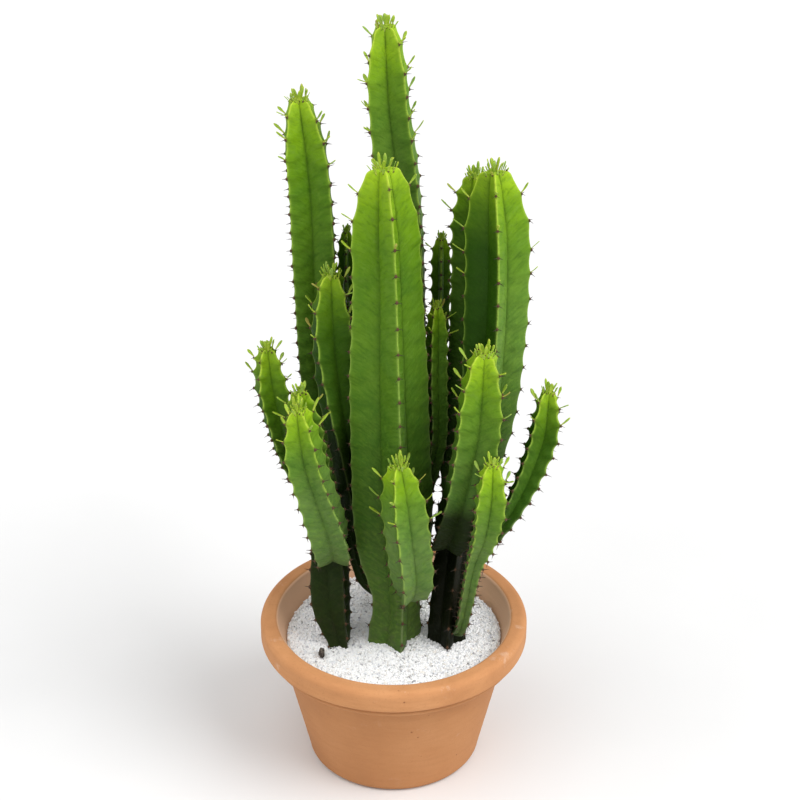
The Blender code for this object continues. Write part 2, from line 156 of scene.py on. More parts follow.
# Each stem: bearing of its first rib at the tip, twist down to the root end, distance from the
# tip to the first spine pair, spacing of the pairs near the tip and lower down (mm), how many
# pairs of each rib still hold a leaf, how much darker it is than a young stem, and its route
# (x, y, z and rib radius in mm, ending at the growing tip).
STEMS = {
    "stem_centre": (-75, 0, 12, 32, 26.5, 3, 0.0, [
        (-1, -10, 115, 31), (1, -10, 160, 31), (3, -10, 207, 28), (1, -10, 280, 43),
        (-3, -11, 395, 44), (-5, -12, 495, 42), (-6, -12, 595, 38), (-10, -12, 726, 35)]),
    "stem_back_tallest": (-47, 0, 14, 30, 21, 5, 0.0, [
        (10, 54, 115, 24), (12, 58, 245, 30), (11, 60, 395, 33), (10, 60, 545, 33),
        (5, 60, 675, 31), (-4, 60, 765, 28), (-8, 60, 849, 27)]),
    "stem_left_tall": (-130, -15, 12, 25, 18, 3, 0.05, [
        (-59, -22, 120, 12), (-60, -20, 147, 14), (-70, -8, 200, 26), (-72, 11, 262, 25),
        (-75, 32, 315, 22), (-77, 44, 360, 23), (-79, 55, 445, 28), (-83, 60, 555, 31),
        (-87, 60, 675, 31), (-96, 60, 771, 27)]),
    "stem_right_tall": (-90, 0, 16, 34, 25, 4, 0.05, [
        (59, -12, 115, 22), (60, -12, 165, 22), (64, -9, 220, 22), (71, -4, 285, 23),
        (85, 1, 355, 25), (99, 2, 420, 29), (106, 2, 525, 33), (107, 2, 625, 34),
        (102, 2, 717, 32)]),
    "branch_right_back": (-83, 0, 10, 18, 23, 2, 0.15, [
        (69, 2, 287, 12), (69, 26, 307, 14), (69, 44, 365, 20), (79, 51, 435, 25),
        (87, 52, 515, 28), (87, 52, 615, 27), (85, 52, 690, 26)]),
    "branch_left_middle": (-135, 58, 9, 24, 28, 3, 0.1, [
        (-7, -6, 209, 11), (-27, -1, 223, 12), (-39, 5, 260, 13), (-43, 6, 315, 15),
        (-51, 9, 385, 19), (-58, 7, 445, 24), (-64, 6, 525, 27), (-64, 6, 599, 26)]),
    "branch_left_far": (-120, 0, 8, 18, 20, 2, 0.0, [
        (-81, 29, 307, 8), (-94, 25, 325, 10), (-109, 19, 356, 14), (-121, 16, 407, 19),
        (-131, 17, 463, 22), (-134, 17, 506, 21)]),
    "branch_left_front": (-145, 14, 9, 22, 20, 2, 0.05, [
        (-71, -8, 264, 15), (-67, -28, 279, 23), (-68, -46, 307, 27), (-75, -57, 346, 26),
        (-84, -65, 385, 24), (-92, -72, 425, 24), (-98, -78, 486, 23)]),
    "branch_left_inner": (-100, 0, 8, 18, 19, 2, 0.15, [
        (-73, 20, 313, 7), (-75, -6, 333, 11), (-83, -25, 383, 17), (-91, -31, 425, 19),
        (-98, -31, 481, 19)]),
    "branch_centre_front": (-110, 0, 9, 24, 21, 3, 0.05, [
        (12, -25, 214, 5), (15, -42, 230, 13), (19, -58, 252, 23), (19, -66, 282, 26),
        (12, -70, 355, 27), (6, -70, 414, 26)]),
    "branch_right_front": (-135, 0, 9, 24, 21, 3, 0.0, [
        (60, -6, 283, 16), (59, -24, 293, 23), (65, -39, 319, 27), (75, -50, 360, 29),
        (83, -57, 410, 30), (89, -60, 460, 31), (93, -60, 542, 29)]),
    "branch_right_low": (-135, 0, 9, 20, 17, 2, 0.05, [
        (61, -13, 165, 7), (73, -24, 172, 8), (80, -37, 216, 10), (87, -61, 285, 12),
        (97, -82, 338, 18), (102, -92, 388, 22), (103, -92, 429, 22)]),
    "branch_right_far": (-135, 0, 8, 18, 17, 2, 0.05, [
        (93, -73, 314, 5), (103, -75, 326, 10), (114, -71, 340, 12), (129, -63, 362, 14),
        (144, -52, 392, 17), (158, -38, 432, 20), (163, -30, 480, 20)]),
    "branch_back_left": (-90, 0, 7, 15, 17, 2, 0.3, [
        (3, 62, 423, 6), (-20, 72, 438, 7), (-42, 79, 480, 8), (-50, 82, 535, 9),
        (-50, 82, 613, 9)]),
    "branch_back_right": (-90, 0, 7, 15, 17, 2, 0.2, [
        (17, 66, 393, 6), (37, 76, 419, 8), (49, 82, 475, 10), (51, 82, 605, 11)]),
    "branch_centre_back": (-115, 0, 7, 17, 18, 2, 0.2, [
        (9, 4, 287, 7), (25, 18, 307, 9), (39, 26, 345, 11), (47, 28, 395, 13),
        (46, 28, 465, 14), (46, 28, 551, 13)]),
}

# Painted shade on the lower part of some stems: how much of the length it takes, and how dark it is.
SHADED_FOOT_USUAL = (0.12, 0.3)
SHADED_FOOT = {
    "stem_centre": (0.05, 0.10),
    "stem_right_tall": (0.44, 0.985),
    "stem_left_tall": (0.32, 0.80),
    "branch_right_front": (0.34, 0.85),
    "branch_left_middle": (0.55, 0.75),
}

# Deeper green and painted shade. The first number darkens all round a stem: partly its own deeper
# painted shade on the flanks that face away from +X, where the key lamp stands.
# tone, partly painted shade on stems that stand in shade inside and behind the plant. The second is
DEEP_GREEN_AND_SHADE_USUAL = (0.0, 0.25)
DEEP_GREEN_AND_SHADE = {
    "stem_centre": (0.12, 0.12),
    "stem_back_tallest": (0.02, 0.55),
    "stem_left_tall": (0.10, 0.40),
    "stem_right_tall": (0.0, 1.0),
    "branch_right_back": (0.45, 0.20),
    "branch_left_middle": (0.72, 0.28),
    "branch_left_far": (0.55, 0.35),
    "branch_left_inner": (0.45, 0.40),
    "branch_left_front": (0.0, 0.30),
    "branch_centre_front": (0.0, 0.20),
    "branch_right_front": (0.12, 0.40),
    "branch_right_low": (0.0, 0.20),
    "branch_right_far": (0.50, 0.50),
    "branch_back_left": (0.35, 0.20),
    "branch_back_right": (0.30, 0.20),
    "branch_centre_back": (0.30, 0.25),
}

# Stems with more of the grey-green wax than the others.
BLOOM_USUAL = 0.15
BLOOM = {
    "branch_centre_front": 0.75,
    "branch_left_front": 0.65,
    "branch_right_front": 0.5,
    "stem_back_tallest": 0.6,
    "branch_right_low": 0.7,
    "stem_right_tall": 0.35,
}


# ---------------------------------------------------------------- meshes

class Batch:
    """Collects many small closed shapes, with values per vertex, into one mesh."""

    def __init__(self):
        self.verts, self.faces, self.values, self.count = [], [], {}, 0

    def add(self, verts, faces, **values):
        self.verts.append(np.asarray(verts, float))
        self.faces.extend([[i + self.count for i in face] for face in faces])
        for key, value in values.items():
            value = np.asarray(value, float)
            shape = (len(verts),) if value.ndim == 0 else value.shape
            self.values.setdefault(key, []).append(np.broadcast_to(value, shape))
        self.count += len(verts)

    def build(self, name, finish, smooth=True):
        mesh = bpy.data.meshes.new(name)
        mesh.from_pydata(np.concatenate(self.verts).tolist(), [], self.faces)
        for key, parts in self.values.items():
            joined = np.concatenate(parts)
            kind, field = ("FLOAT", "value") if joined.ndim == 1 else ("FLOAT_VECTOR", "vector")
            mesh.attributes.new(key, kind, "POINT").data.foreach_set(field, joined.ravel())
        mesh.polygons.foreach_set("use_smooth", [smooth] * len(mesh.polygons))
        mesh.materials.append(finish)
        made = bpy.data.objects.new(name, mesh)
        bpy.context.scene.collection.objects.link(made)
        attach(made, BODY)
        return made


def tube_faces(rings, around):
    """Quads between rings that follow each other, each with the same number of vertices."""
    faces = []
    for i in range(rings - 1):
        for j in range(around):
            k = (j + 1) % around
            faces.append((i * around + j, i * around + k, (i + 1) * around + k, (i + 1) * around + j))
    return faces


def capped_tube(rings, around):
    """The same, closed by a fan round a last vertex at each end."""
    faces = tube_faces(rings, around)
    low, high = rings * around, rings * around + 1
    top = (rings - 1) * around
    for j in range(around):
        k = (j + 1) % around
        faces.append((k, j, low))
        faces.append((top + j, top + k, high))
    return faces


def unit(vector):
    return vector / np.linalg.norm(vector, axis=-1, keepdims=True)


# ---------------------------------------------------------------- materials

def new_node(tree, kind, inputs=None, **settings):
    made = tree.nodes.new(kind)
    for key, value in settings.items():
        setattr(made, key, value)
    for key, value in (inputs or {}).items():
        if isinstance(value, bpy.types.NodeSocket):
            tree.links.new(value, made.inputs[key])
        else:
            made.inputs[key].default_value = value
    return made


class Finish:
    """A material with short names for the nodes that this script uses."""

    def __init__(self, name, gloss=0.5, roughness=0.5):
        self.material = bpy.data.materials.new(name)
        self.material.use_nodes = True
        self.tree = self.material.node_tree
        self.shader = self.tree.nodes["Principled BSDF"]
        self.shader.inputs["Specular IOR Level"].default_value = gloss
        self.shader.inputs["Roughness"].default_value = roughness

    def value(self, name):
        return new_node(self.tree, "ShaderNodeAttribute", attribute_name=name).outputs["Fac"]

    def vector(self, name):
        return new_node(self.tree, "ShaderNodeAttribute", attribute_name=name).outputs["Vector"]

    def place(self):
        return new_node(self.tree, "ShaderNodeTexCoord").outputs["Object"]

    def noise(self, where, scale, detail=3.0, roughness=0.5):
        return new_node(self.tree, "ShaderNodeTexNoise", {
            "Vector": where, "Scale": scale, "Detail": detail, "Roughness": roughness}).outputs["Fac"]

    def cells(self, where, scale):
        return new_node(self.tree, "ShaderNodeTexVoronoi", {"Vector": where, "Scale": scale})

    def math(self, operation, a, b):
        made = new_node(self.tree, "ShaderNodeMath", operation=operation)
        for i, value in enumerate((a, b)):
            if isinstance(value, bpy.types.NodeSocket):
                self.tree.links.new(value, made.inputs[i])
            else:
                made.inputs[i].default_value = value
        return made.outputs[0]

    def span(self, value, low, high, to_low=0.0, to_high=1.0):
        """value between low and high, stretched to another range and clamped to it."""
        return new_node(self.tree, "ShaderNodeMapRange", {
            "Value": value, "From Min": low, "From Max": high,
            "To Min": to_low, "To Max": to_high}).outputs["Result"]

    def ramp(self, value, stops):
        made = new_node(self.tree, "ShaderNodeValToRGB", {"Fac": value})
        elements = made.color_ramp.elements
        while len(elements) < len(stops):
            elements.new(0.5)
        for element, (position, colour) in zip(elements, stops):
            element.position = position
            element.color = (*colour, 1.0)
        return made.outputs["Color"]

    def mix(self, share, a, b):
        made = new_node(self.tree, "ShaderNodeMix", data_type="RGBA")
        for index, value in ((0, share), (6, a), (7, b)):
            if isinstance(value, bpy.types.NodeSocket):
                self.tree.links.new(value, made.inputs[index])
            elif index == 0:
                made.inputs[index].default_value = value
            else:
                made.inputs[index].default_value = (*value, 1.0)
        return made.outputs[2]

    def colour(self, socket):
        self.tree.links.new(socket, self.shader.inputs["Base Color"])

    def roughness(self, socket):
        self.tree.links.new(socket, self.shader.inputs["Roughness"])

    def bump(self, height, depth):
        made = new_node(self.tree, "ShaderNodeBump", {"Height": height, "Distance": depth})
        self.tree.links.new(made.outputs["Normal"], self.shader.inputs["Normal"])


def skin_finish():
    """Waxy ribbed skin: yellow-green at the tip, darker with age, with pale rib edges, and painted
    shade down the channels, on the lower part of some stems and on flanks turned away from the key
    lamp.
    """
    f = Finish("stem_skin", gloss=0.08)
    age, edge, pad, grain = f.value("age"), f.value("edge"), f.value("pad"), f.vector("grain")
    body = f.ramp(age, [
        (0.00, (0.37, 0.58, 0.020)), (0.06, (0.21, 0.39, 0.008)), (0.16, (0.125, 0.275, 0.004)),
        (0.30, (0.120, 0.260, 0.006)), (0.50, (0.076, 0.186, 0.006)), (0.72, (0.056, 0.124, 0.011)),
        (1.00, (0.078, 0.118, 0.032))])
    body = f.mix(f.math("MULTIPLY", f.value("bloom"), f.span(age, 0.04, 0.32)), body,
                 (0.150, 0.235, 0.075))
    blotch = f.noise(f.place(), 42.0, 4.0, 0.6)
    mottle = f.noise(f.place(), 190.0, 4.0, 0.65)
    streak = f.noise(grain, 1.0, 3.0, 0.6)
    cool = f.mix(f.span(blotch, 0.42, 0.72, 0.0, 0.45), body, (0.055, 0.165, 0.018))
    pale = f.mix(f.span(mottle, 0.50, 0.72, 0.0, 0.36), cool, (0.20, 0.36, 0.035))
    veined = f.mix(f.span(streak, 0.50, 0.74, 0.0, 0.30), pale, (0.20, 0.35, 0.05))
    dashed = f.mix(f.span(streak, 0.48, 0.28, 0.0, 0.40), veined, (0.030, 0.095, 0.006))
    # Deeper green and painted shade: darker on stems inside and behind the plant, and on flanks turned
    # away from the key lamp.
    deep_green_and_shade = f.mix(f.math("MULTIPLY", f.value("deep_green_and_shade"), f.span(age, -0.08, 0.16, 0.0, 0.92)), dashed,
                 (0.016, 0.058, 0.002))
    corky = f.noise(f.place(), 140.0, 5.0, 0.7)
    cork = f.math("MULTIPLY", f.span(corky, 0.56, 0.68), f.span(age, 0.55, 1.0, 0.0, 0.5))
    aged = f.mix(cork, deep_green_and_shade, (0.13, 0.13, 0.07))
    rim = f.ramp(age, [
        (0.00, (0.50, 0.66, 0.06)), (0.10, (0.36, 0.55, 0.06)), (0.50, (0.24, 0.38, 0.08)),
        (1.00, (0.16, 0.21, 0.10))])
    worn = f.math("MULTIPLY", edge, f.span(f.noise(f.place(), 260.0, 3.0), 0.25, 0.5, 0.5, 0.95))
    edged = f.mix(worn, aged, rim)
    # Painted shade: a dark line down each channel, where shade falls.
    crease_shade = f.math("MULTIPLY", f.value("crease_shade"), f.span(blotch, 0.3, 0.6, 0.4, 1.2))
    crease_shaded = f.mix(crease_shade, edged, (0.020, 0.062, 0.003))
    # Painted shade, near black, on the lower part of some stems.
    shaded_foot = f.mix(f.value("foot_shade"), crease_shaded, (0.0045, 0.0060, 0.0015))
    f.colour(f.mix(pad, shaded_foot, (0.075, 0.048, 0.024)))
    f.roughness(f.span(blotch, 0.3, 0.7, 0.42, 0.58))
    fine = f.noise(f.place(), 520.0, 3.0)
    f.bump(f.math("ADD", streak, f.math("MULTIPLY", fine, 0.3)), 0.9 * MM)
    return f.material


def spine_finish():
    """Brown felt pads (part 0) and spines that darken from base to point (part 0.3 to 1)."""
    f = Finish("spines_and_pads", gloss=0.3)
    speck = f.noise(f.place(), 900.0, 3.0)
    tone = f.math("ADD", f.value("part"), f.span(speck, 0.2, 0.8, -0.12, 0.12))
    f.colour(f.ramp(tone, [
        (0.0, (0.110, 0.052, 0.026)), (0.22, (0.050, 0.026, 0.015)), (0.34, (0.075, 0.050, 0.030)),
        (0.70, (0.032, 0.022, 0.015)), (1.0, (0.014, 0.010, 0.008))]))
    f.roughness(f.span(speck, 0.3, 0.7, 0.55, 0.85))
    f.bump(speck, 0.3 * MM)
    return f.material


def leaf_finish():
    f = Finish("young_leaf", gloss=0.4)
    along, tint = f.value("along"), f.value("tint")
    fleck = f.noise(f.place(), 600.0, 3.0)
    fresh = f.ramp(f.math("ADD", along, f.span(fleck, 0.2, 0.8, -0.15, 0.15)), [
        (0.0, (0.56, 0.60, 0.09)), (0.35, (0.42, 0.56, 0.04)), (0.8, (0.30, 0.47, 0.025)),
        (1.0, (0.46, 0.53, 0.05))])
    cool = f.mix(f.span(tint, 0.60, 1.0, 0.0, 0.6), fresh, (0.24, 0.42, 0.08))
    f.colour(f.mix(f.span(tint, 0.10, 0.0, 0.0, 0.7), cool, (0.40, 0.26, 0.08)))
    f.roughness(f.span(fleck, 0.3, 0.7, 0.42, 0.6))
    f.bump(fleck, 0.2 * MM)
    return f.material


def clay_finish():
    """Unglazed terracotta: mottled orange, pitted and salt-marked, with painted shade on the body below
    the rim and a paler inside wall, which is painted light.
    """
    f = Finish("terracotta", gloss=0.25)
    where = f.place()
    cloud = f.noise(where, 11.0, 5.0, 0.6)
    grit = f.noise(where, 420.0, 4.0, 0.7)
    flat = new_node(f.tree, "ShaderNodeMapping", {"Vector": where, "Scale": (1.0, 1.0, 9.0)})
    turned = f.noise(flat.outputs["Vector"], 26.0, 4.0, 0.6)
    base = f.ramp(cloud, [
        (0.30, (0.50, 0.222, 0.088)), (0.5, (0.58, 0.270, 0.112)), (0.72, (0.64, 0.315, 0.142))])
    # Painted shade: the body below the rim is darker than the lit rim.
    side_shaded = f.mix(f.span(f.value("rim"), 0.35, 1.0, 0.30, 0.0), base, (0.34, 0.142, 0.052))
    banded = f.mix(f.span(turned, 0.45, 0.75, 0.0, 0.35), side_shaded, (0.44, 0.19, 0.075))
    speckled = f.mix(f.span(grit, 0.56, 0.72, 0.0, 0.45), banded, (0.40, 0.17, 0.07))
    # Painted light: the inside wall, which lies in shade, is made paler.
    lit_inside = f.mix(f.math("MULTIPLY", f.value("inside"), 0.75), speckled, (0.92, 0.60, 0.40))
    salt = f.math("MULTIPLY", f.span(f.noise(where, 32.0, 6.0, 0.7), 0.62, 0.76, 0.0, 0.40),
                  f.value("rim"))
    salted = f.mix(salt, lit_inside, (0.80, 0.66, 0.55))
    cells = f.cells(where, 62.0)
    pit = f.math("MULTIPLY", f.span(cells.outputs["Distance"], 0.10, 0.05),
                 f.span(f.noise(where, 9.0, 2.0), 0.55, 0.62))
    f.colour(f.mix(f.math("MULTIPLY", pit, 0.8), salted, (0.26, 0.09, 0.035)))
    f.roughness(f.span(cloud, 0.3, 0.7, 0.72, 0.92))
    height = f.math("SUBTRACT", f.math("MULTIPLY", grit, 0.35), f.math("MULTIPLY", pit, 1.5))
    f.bump(f.math("ADD", height, f.math("MULTIPLY", turned, 0.5)), 0.5 * MM)
    return f.material


def gravel_finish():
    f = Finish("white_gravel", gloss=0.3)
    tint = f.value("tint")
    dust = f.noise(f.place(), 700.0, 4.0, 0.7)
    stone = f.ramp(tint, [
        (0.00, (0.93, 0.93, 0.93)), (0.70, (0.90, 0.90, 0.90)), (0.86, (0.74, 0.76, 0.80)),
        (0.95, (0.84, 0.80, 0.74)), (0.985, (0.50, 0.50, 0.54)), (1.0, (0.22, 0.21, 0.21))])
    f.colour(f.mix(f.span(dust, 0.50, 0.75, 0.0, 0.35), stone, (0.72, 0.73, 0.77)))
    f.roughness(f.span(dust, 0.3, 0.7, 0.6, 0.9))
    f.bump(dust, 0.3 * MM)
    return f.material


def soil_finish():
    f = Finish("potting_soil", gloss=0.2)
    crumb = f.noise(f.place(), 240.0, 5.0, 0.7)
    f.colour(f.ramp(crumb, [(0.35, (0.020, 0.012, 0.008)), (0.6, (0.060, 0.038, 0.024)),
                            (0.8, (0.16, 0.11, 0.07))]))
    f.roughness(f.span(crumb, 0.3, 0.7, 0.8, 1.0))
    f.bump(crumb, 1.5 * MM)
    return f.material


def stone_finish():
    f = Finish("dark_stone", gloss=0.3)
    fleck = f.noise(f.place(), 480.0, 5.0, 0.7)
    f.colour(f.ramp(fleck, [(0.36, (0.018, 0.014, 0.012)), (0.52, (0.060, 0.048, 0.040)),
                            (0.64, (0.20, 0.17, 0.14)), (0.76, (0.42, 0.38, 0.33))]))
    f.roughness(f.span(fleck, 0.3, 0.7, 0.5, 0.85))
    f.bump(fleck, 0.6 * MM)
    return f.material


# ---------------------------------------------------------------- stems

def smooth_point(points, position):
    """A point on the smooth curve through the route; position runs from 0 to len - 1."""
    index = min(int(position), len(points) - 2)
    t = position - index
    here, after = points[index], points[index + 1]
    before = points[index - 1] if index > 0 else 2 * here - after
    beyond = points[index + 2] if index + 2 < len(points) else 2 * after - here
    span = np.linalg.norm(after - here)
    tangent_here = (after - before) * span / (np.linalg.norm(here - before) + span)
    tangent_after = (beyond - here) * span / (np.linalg.norm(beyond - after) + span)
    return ((2 * t ** 3 - 3 * t ** 2 + 1) * here + (t ** 3 - 2 * t ** 2 + t) * tangent_here
            + (3 * t ** 2 - 2 * t ** 3) * after + (t ** 3 - t ** 2) * tangent_after)


class Stem:
    """The rings of one stem, from its root end to its tip, and its frame at each."""

    def __init__(self, name, spec):
        (self.bearing, self.twist, self.first, self.top_gap, self.low_gap, self.leafy, self.dark,
         route) = spec
        self.name = name
        self.seed = sum(ord(c) * (i + 1) for i, c in enumerate(name))
        self.draw = random.Random(self.seed)
        points = np.array(route, float) * MM
        dense = np.array([smooth_point(points, i / ROUTE_STEPS)
                          for i in range(ROUTE_STEPS * (len(points) - 1) + 1)])
        steps = np.linalg.norm(np.diff(dense[:, :3], axis=0), axis=1)
        lengths = np.concatenate([[0.0], np.cumsum(steps)])
        self.total = lengths[-1]
        tip = TIP_LENGTH * dense[-1, 3]
        down = list(TIP_STEPS)
        while down[-1] < tip:
            down.append(down[-1] + TIP_STEP)
        body = self.total - down[-1]
        count = max(4, round(body / RING_STEP))
        down += [down[-1] + body * (i + 1) / count for i in range(count)]
        self.depth = np.array(down[::-1])            # distance from the tip, root end first
        self.depth[0] = self.total
        at = self.total - self.depth
        self.places = np.stack([np.interp(at, lengths, dense[:, i]) for i in range(3)], axis=1)
        self.radius = np.interp(at, lengths, dense[:, 3])
        self.frames()
        wobble = [noise.noise(Vector((d * 14, self.seed * 0.37, 0.0))) for d in self.depth]
        self.radius *= 1 + WOBBLE * np.array(wobble)
        length = TIP_LENGTH * self.radius
        near = np.clip(self.depth / length, 0.0, 1.0) ** TIP_POWER
        self.rib = self.radius * (TIP_WIDTH + (1 - TIP_WIDTH) * near)
        age = np.minimum(1.0, self.depth / OLD_AT)
        self.valley = VALLEY_YOUNG + (VALLEY_OLD - VALLEY_YOUNG) * age
        self.turn = math.radians(self.twist) * self.depth / self.total
        tooth = TOOTH_TALL if route[0][2] * MM < GRAVEL_TOP else TOOTH_YOUNG
        bite = TOOTH_OLD + (tooth - TOOTH_OLD) * np.exp(-self.depth / TOOTH_FADE)
        self.bite = (bite * np.minimum(1.0, self.rib / TOOTH_RIB)
                     * np.clip(self.depth / TOOTH_START, 0.25, 1.0))
        self.areoles = [self.areole_depths(k) for k in range(RIBS)]

    def frames(self):
        """The directions out along rib 0, across it and towards the tip, for each ring."""
        bearing = math.radians(self.bearing)
        side = np.array((math.cos(bearing), math.sin(bearing), 0.0))
        last = len(self.places) - 1
        sides, overs, alongs = [], [], []
        for i in range(last, -1, -1):
            along = unit(self.places[min(i + 1, last)] - self.places[max(i - 1, 0)])
            side = unit(side - along * side.dot(along))
            sides.append(side)
            overs.append(np.cross(along, side))
            alongs.append(along)
        self.side = np.array(sides[::-1])
        self.over = np.array(overs[::-1])
        self.along = np.array(alongs[::-1])

    def areole_depths(self, k):
        """Distances from the tip to the spine pairs of one rib."""
        gap = self.top_gap * MM
        depth = self.first * MM + gap * RIB_STARTS[k]
        found = []
        while depth < self.total - LAST_PAIR:
            found.append(depth)
            share = math.exp(-depth / GAP_FADE)
            gap = (self.low_gap + (self.top_gap - self.low_gap) * share) * MM
            depth += gap * self.draw.uniform(0.92, 1.08)
        return np.array(found)

    def teeth(self, k):
        """For each ring: closeness to a tooth of rib k (1 on it), phase, and distance to it."""
        marks = self.areoles[k]
        gap = self.top_gap * MM
        marks = np.concatenate([[marks[0] - gap], marks, [marks[-1] + gap]])
        index = np.clip(np.searchsorted(marks, self.depth) - 1, 0, len(marks) - 2)
        phase = (self.depth - marks[index]) / (marks[index + 1] - marks[index])
        nearest = np.minimum(self.depth - marks[index], marks[index + 1] - self.depth)
        cusp = np.abs(2 * np.clip(phase, 0, 1) - 1) ** 2.2
        return cusp, phase, nearest

    def section(self, k):
        """Columns of (distance from the axis, sideways, edge, face) for one rib, and the nearest."""
        cusp, phase, nearest = self.teeth(k)
        reach = self.rib + self.bite * (cusp - 0.45)
        half = np.minimum(MARGIN, 0.3 * self.rib) * (0.78 + 0.22 * cusp)
        low = self.valley * self.rib * math.cos(math.pi / 4)
        columns = []
        for sign in (-1, 1):
            part = []
            for drop, wide, edge in MARGIN_STEPS:
                part.append((reach - drop * half, sign * wide * half, edge, 0.0))
            start_a, start_b = reach - half, half
            for u in FACE_STEPS:
                edge = 0.05 if u == FACE_STEPS[0] else 0.0
                swell = RIPPLE * math.sin(math.pi * u) * np.cos(2 * math.pi * (phase + 0.4 * u))
                a = start_a + (low - start_a) * u
                b = start_b + (low - start_b) * u + BULGE * self.rib * math.sin(math.pi * u ** 0.8)
                b += swell * np.minimum(1, self.rib / 0.03)
                part.append((a, sign * b, edge, u))
            columns.append(part)
        edge_column = (reach, np.zeros_like(reach), 1.0, 0.0)
        channel = (low, low, 0.0, 1.0)
        return [*reversed(columns[0]), edge_column, *columns[1], channel], nearest

    def build(self, finish):
        """The skin: one closed mesh, with the values per vertex that its material reads."""
        points = []
        values = {"age": [], "edge": [], "pad": [], "foot_shade": [], "bloom": [], "deep_green_and_shade": [],
                  "crease_shade": [], "grain": []}
        share = self.depth / self.total
        # Near its tip a short stem ages by distance, like a tall one, and it is oldest at its root.
        young = self.depth / FULL_LENGTH
        old = young + (share - young) * share + self.dark * np.clip(share / 0.25, 0.0, 1.0)
        old = np.clip(old, 0.0, 1.0)
        shaded_foot, strength = SHADED_FOOT.get(self.name, SHADED_FOOT_USUAL)
        even, sided = DEEP_GREEN_AND_SHADE.get(self.name, DEEP_GREEN_AND_SHADE_USUAL)
        bloom = np.full_like(old, BLOOM.get(self.name, BLOOM_USUAL))
        # Painted shade on the lower part of the stem, fading in over a tenth of its length.
        foot_shade = strength * np.clip((share - 1 + shaded_foot) / 0.10 + 0.5, 0.0, 1.0)
        for k in range(RIBS):
            angle = 2 * math.pi * k / RIBS + self.turn
            out = np.cos(angle)[:, None] * self.side + np.sin(angle)[:, None] * self.over
            tangent = -np.sin(angle)[:, None] * self.side + np.cos(angle)[:, None] * self.over
            columns, nearest = self.section(k)
            for i, (a, b, edge, face) in enumerate(columns):
                points.append(self.places + a[:, None] * out + b[:, None] * tangent)
                values["age"].append(old)
                values["foot_shade"].append(foot_shade)
                # Painted shade down each channel, and half as much beside it.
                crease_shade = CREASE_SHADE if face == 1.0 else CREASE_SHADE / 2 if face > 0.9 else 0.0
                values["crease_shade"].append(crease_shade * np.clip(1.1 - share, 0.0, 1.0))
                values["bloom"].append(bloom)
                turned = 0.0 if i == MIDDLE else math.copysign(1.0, i - MIDDLE)
                # Painted shade: flanks that face away from +X, where the key lamp stands, are darkened.
                facing = (0.53 * out + 0.82 * turned * tangent)[:, 0]
                values["deep_green_and_shade"].append(even + sided * np.clip(0.5 - 0.95 * facing, 0.0, 1.0))
                values["edge"].append(edge * np.clip(nearest / EDGE_GAP, 0.35, 1.0))
                values["pad"].append(np.exp(-(nearest / PAD_STAIN) ** 2) * edge * 0.8)
                inward = face ** 1.5 * self.rib
                # Each flank reads its own patch of the noise.
                patch = np.full_like(inward, k * 7.3 + (i >= MIDDLE) * 3.1 + self.seed)
                lengthwise = (self.depth - 0.45 * inward) * GRAIN_ALONG
                values["grain"].append(np.stack([lengthwise, inward * GRAIN_ACROSS, patch], axis=1))
        around, rings = len(points), len(self.depth)
        body = np.stack(points, axis=1).reshape(-1, 3)
        flat = {key: np.stack(parts, axis=1).reshape(around * rings, -1).squeeze()
                for key, parts in values.items()}
        last = body[-around:]
        tip, along = self.places[-1], self.along[-1]
        caps, extra = [], {key: [] for key in flat}
        for inset, rise in TIP_CAPS:
            caps.append(tip + inset * (last - tip) + rise * along)
            for key, part in flat.items():
                extra[key].append(part[-around:])
        verts = np.concatenate([body, *caps, [self.places[0]], [tip + 1.0 * MM * along]])
        for key, part in flat.items():
            flat[key] = np.concatenate([part, *extra[key], part[:1], part[-1:]])
        batch = Batch()
        batch.add(verts, capped_tube(rings + len(caps), around), **flat)
        made = batch.build(self.name + "_skin", finish)
        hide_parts(self.name)

    def at(self, k, depth):
        """Frame on the edge of rib k at a depth: (point, outwards, sideways, towards the tip)."""
        order = self.depth[::-1]

        def pick(values):
            values = values[::-1]
            if values.ndim == 1:
                return np.interp(depth, order, values)
            return np.array([np.interp(depth, order, values[:, i]) for i in range(3)])

        side, over, along = unit(pick(self.side)), unit(pick(self.over)), unit(pick(self.along))
        angle = 2 * math.pi * k / RIBS + pick(self.turn)
        out = math.cos(angle) * side + math.sin(angle) * over
        tangent = -math.sin(angle) * side + math.cos(angle) * over
        reach = pick(self.rib) + 0.55 * pick(self.bite)
        return pick(self.places) + reach * out, out, tangent, along


def ball(rings=3, around=7):
    """A unit ball as (vertices, faces)."""
    verts = []
    for i in range(rings):
        polar = math.pi * (i + 1) / (rings + 1)
        for j in range(around):
            turn = 2 * math.pi * j / around
            verts.append((math.sin(polar) * math.cos(turn), math.sin(polar) * math.sin(turn),
                          -math.cos(polar)))
    verts += [(0, 0, -1), (0, 0, 1)]
    return np.array(verts, float), capped_tube(rings, around)


def add_spine(batch, root, direction, droop, length, thick):
    """One tapering spine, slightly bowed."""
    around, stations = 5, (0.0, 0.3, 0.65, 0.9)
    across = unit(np.cross(direction, droop))
    other = np.cross(direction, across)
    verts, part = [], []
    for t in stations:
        centre = root + direction * length * t + droop * 0.10 * length * t * t
        wide = thick * (1 - 0.85 * t)
        for j in range(around):
            turn = 2 * math.pi * j / around
            verts.append(centre + wide * (math.cos(turn) * across + math.sin(turn) * other))
            part.append(0.32 + 0.68 * t)
    verts += [root - direction * thick, root + direction * length + droop * 0.10 * length]
    part += [0.3, 1.0]
    batch.add(verts, capped_tube(len(stations), around), part=np.array(part))


